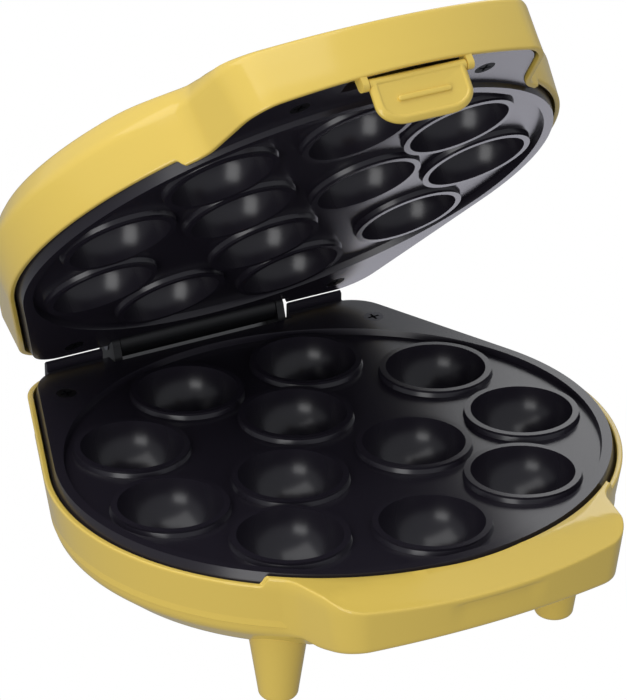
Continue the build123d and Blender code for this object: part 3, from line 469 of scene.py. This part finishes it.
def lid_rings():
    """Rings of the lid shell from its inner top over the rim to its crown."""
    rings = [lid_top(inset, SHELL_WALL) for inset in (70, 40, 22, 10, 6)]
    rings[-1][:, 2] = np.minimum(rings[-1][:, 2], 26)
    wall_top = np.minimum(16.0, lid_plane(outline(SHELL_GROW, LID_FRONT, LID_BOW)) - 3.5)
    rings.append(lid_wall(wall_top, SHELL_WALL))
    inner = outline(SHELL_GROW - SHELL_WALL, LID_FRONT - SHELL_WALL, LID_BOW)
    rim = on_nose(inner, SIDE_RIM, LID_RIM)
    rings += [lid_wall(rim + 2.0, SHELL_WALL), lid_wall(rim + 0.35, SHELL_WALL)]
    rings.append(lid_wall(rim + 0.1, SHELL_WALL - 0.12))
    rings += [lid_wall(rim, inset) for inset in (SHELL_WALL - 0.4, 1.2, 0.7)]
    rings += bent(rings[-1], lid_wall(rim), lid_wall(rim + 0.9), 3)
    rings.append(lid_wall(rim + 0.9))
    edge_plan = outline(SHELL_GROW + LID_FLARE, LID_FRONT, LID_BOW)
    edge = smooth_least(np.full(RAYS, LID_EDGE), lid_plane(edge_plan), 1.2)
    for share in (0.33, 0.66, 1.0):
        rings.append(lid_wall(rim + 0.9 + (edge - 2.2 - rim - 0.9) * share))
    rounded = lid_top(2.2)
    rings += bent(rings[-1], lid_wall(edge), rounded, 5)
    rings.append(rounded)
    return rings + [lid_top(inset) for inset in LID_INSETS]


lid_shell = ringed("lid_shell_skin", lid_rings(), lid_matrix, shell_plastic)
ears = []
for side in (-1, 1):
    turn = np.linspace(-pi, 0, 25)
    profile = [(-LATCH_Y + LATCH_EAR * cos(t), LATCH_Z + LATCH_EAR * sin(t)) for t in turn]
    profile += [(-LATCH_Y + LATCH_EAR, LATCH_EAR_TOP), (-LATCH_Y - LATCH_EAR, LATCH_EAR_TOP)]
    x = side * LATCH_EAR_X
    ring_sets = [np.array([(x + offset, y, z) for y, z in profile])
                 for offset in (-LATCH_EAR_WIDTH / 2, LATCH_EAR_WIDTH / 2)]
    ears.append(ringed(f"ear_{side}", ring_sets, lid_matrix, shell_plastic))
combined(lid_shell, ears, "UNION")
cuts = [block("notch", (-HINGE_NOTCH, EAR_FRONT, NOTCH_START), (HINGE_NOTCH, NOTCH_BACK, LID_NOTCH),
              lid_matrix, shell_plastic)]
cuts += [lathe(f"lens_{side}", [(LENS_RADIUS, 30), (LENS_RADIUS, 40)], (side * LENS_X, LENS_Y), lid_matrix,
               shell_plastic) for side in (-1, 1)]
combined(lid_shell, cuts, "DIFFERENCE")
shaded(lid_shell)
dress(lid_shell, "lid", "shell_plastic", "lid_shell")


# ------------------------------------------------------------------ latch
def arc(centre, radii, start, steps):
    """Quarter of an ellipse, turning back through the x-z plane from an angle."""
    turn = np.linspace(radians(start), radians(start - 90), steps)
    return np.column_stack([centre[0] + radii[0] * np.cos(turn), centre[1] + radii[1] * np.sin(turn)])


def latch_ring(inset, y):
    """Outline of the latch's face at one depth: small upper corners, long lower ones."""
    width, top, bottom = LATCH_HALF_WIDTH - inset, LATCH_TOP - inset, LATCH_BOTTOM + inset
    small = max(LATCH_TOP_CORNER - inset, 0.4)
    long, tall = LATCH_CORNER[0] - inset, LATCH_CORNER[1] - inset
    corners = [arc((-width + small, top - small), (small, small), 180, 9),
               arc((width - small, top - small), (small, small), 90, 9),
               arc((width - long, bottom + tall), (long, tall), 0, 25),
               arc((-width + long, bottom + tall), (long, tall), -90, 25)]
    face = np.vstack(corners)
    return np.column_stack([face[:, 0], np.full(len(face), y), face[:, 1]])


latch_matrix = (
    lid_matrix
    @ Matrix.Translation((0, -LATCH_Y * MM, LATCH_Z * MM))
    @ Matrix.Rotation(radians(LATCH_LEAN), 4, "X")
    @ Matrix.Translation((0, LATCH_Y * MM, -LATCH_Z * MM))
)
face_rings = [latch_ring(inset, depth - LATCH_FACE) for inset, depth in LATCH_PROFILE]
latch = ringed("latch_skin", face_rings, latch_matrix, shell_plastic)
turn = np.linspace(0, 2 * pi, 48, endpoint=False)
barrel_y = LATCH_BARREL * np.cos(turn) - LATCH_Y
barrel_z = LATCH_BARREL * np.sin(turn) + LATCH_Z
barrel_rings = [np.column_stack([np.full_like(turn, x), barrel_y, barrel_z])
                for x in (-LATCH_HALF_WIDTH, LATCH_HALF_WIDTH)]
turn = np.linspace(0, 2 * pi, 64, endpoint=False)
bar_middles = np.sign(np.cos(turn)) * (BAR_HALF_WIDTH - BAR_HALF_HEIGHT)
bar_rings = []
for inset, depth in BAR_PROFILE:
    reach = BAR_HALF_HEIGHT - inset
    bar_x, bar_z = bar_middles + reach * np.cos(turn), LATCH_Z - BAR_DROP + reach * np.sin(turn)
    bar_rings.append(np.column_stack([bar_x, np.full_like(turn, depth - LATCH_FACE), bar_z]))
hook = block("hook", (-HOOK_HALF_WIDTH, -LATCH_Y, LATCH_Z - HOOK_FOOT),
             (HOOK_HALF_WIDTH, HOOK_REACH - LATCH_Y, LATCH_Z - HOOK_TOP), latch_matrix, shell_plastic)
barrel = ringed("barrel", barrel_rings, latch_matrix, shell_plastic)
bar = ringed("bar", bar_rings, latch_matrix, shell_plastic)
combined(latch, [barrel, bar, hook], "UNION")
shaded(latch, 40)
dress(latch, "latch", "shell_plastic", "latch")

# ------------------------------------------------------------------ rounded edges of the other pieces
EDGE_RADIUS = {"lower_plate": 0.5, "upper_plate": 0.5}
for name, solid in frame["nodes"].items():
    if name not in ("base_shell", "lid_shell", "latch"):
        rounding = solid.modifiers.new("edges", "BEVEL")
        rounding.width = EDGE_RADIUS.get(name, 0.3) * MM
        rounding.segments = 3
        rounding.limit_method = "ANGLE"
        rounding.angle_limit = radians(28)
        rounding.harden_normals = True

# ------------------------------------------------------------------ lamps, world and camera
scene = bpy.context.scene


def lamp(name, place, aim, size, watts, colour="#FFFFFF"):
    """Soft square lamp at a place, aimed at a point (metres)."""
    data = bpy.data.lights.new(name, "AREA")
    data.shape = "RECTANGLE"
    data.size, data.size_y = size
    data.energy = watts
    data.color = linear(colour)[:3]
    holder = bpy.data.objects.new(name, data)
    scene.collection.objects.link(holder)
    holder.location = place
    holder.rotation_euler = (Vector(aim) - Vector(place)).to_track_quat("-Z", "Y").to_euler()
    return holder


lamp("overhead_softbox", (-0.35, 0.1, 1.1), (0, 0, 0.06), (1.2, 1.3), 7.0)
lamp("left_softbox", (-1.0, -0.8, 0.18), (0, 0, 0.1), (0.6, 0.9), 5.2)
lamp("right_back_softbox", (0.78, 0.75, 0.55), (0.05, -0.05, 0.06), (0.4, 0.4), 0.8)
# Light off the tabletop, kept to the upper plate's coating
table_bounce = lamp("table_bounce", (0.45, 0.35, -0.25), (0.08, 0, 0.15), (0.5, 0.5), 0.95, "#F1EFFC")
bounced_on = bpy.data.collections.new("bounced_on")
bounced_on.objects.link(frame["nodes"]["upper_plate"])
table_bounce.light_linking.receiver_collection = bounced_on

world = bpy.data.worlds.new("studio")
scene.world = world
world.use_nodes = True
sky = world.node_tree
background = sky.nodes["Background"]
path = add_node(sky, "ShaderNodeLightPath")
white = add_node(sky, "ShaderNodeBackground", Color=(1, 1, 1, 1), Strength=1.0)
background.inputs["Color"].default_value = linear("#E9ECF2")
# Light from below the horizon is weaker than from above it; the camera sees plain white
heading = add_node(sky, "ShaderNodeTexCoord")
upright = add_node(sky, "ShaderNodeSeparateXYZ", [(heading.outputs["Generated"], "Vector")])
level = add_node(sky, "ShaderNodeMapRange", [(upright.outputs["Z"], "Value")], **{
    "From Min": -0.03, "From Max": 0.03, "To Min": 0.34, "To Max": 0.56})
sky.links.new(level.outputs["Result"], background.inputs["Strength"])
mix = add_node(sky, "ShaderNodeMixShader", [(path.outputs["Is Camera Ray"], 0),
                                            (background.outputs[0], 1), (white.outputs[0], 2)])
sky.links.new(mix.outputs[0], sky.nodes["World Output"].inputs["Surface"])

scene.view_settings.view_transform = "Standard"

# From the front left and a little above, with a long lens
AZIMUTH, ELEVATION = radians(-29.867), radians(26.036)
DISTANCE = 1.4991
TARGET = Vector((-8.85 * MM, -MIDDLE_Y * MM, (PARTING + 41.23) * MM))
back = Vector((sin(AZIMUTH) * cos(ELEVATION), -cos(AZIMUTH) * cos(ELEVATION), sin(ELEVATION)))
camera_data = bpy.data.cameras.new("camera")
camera_data.lens = 203.07
camera_data.sensor_width = 36.0
camera = bpy.data.objects.new("camera", camera_data)
scene.collection.objects.link(camera)
camera.location = TARGET + back * DISTANCE
camera.rotation_euler = back.to_track_quat("Z", "Y").to_euler()
scene.camera = camera
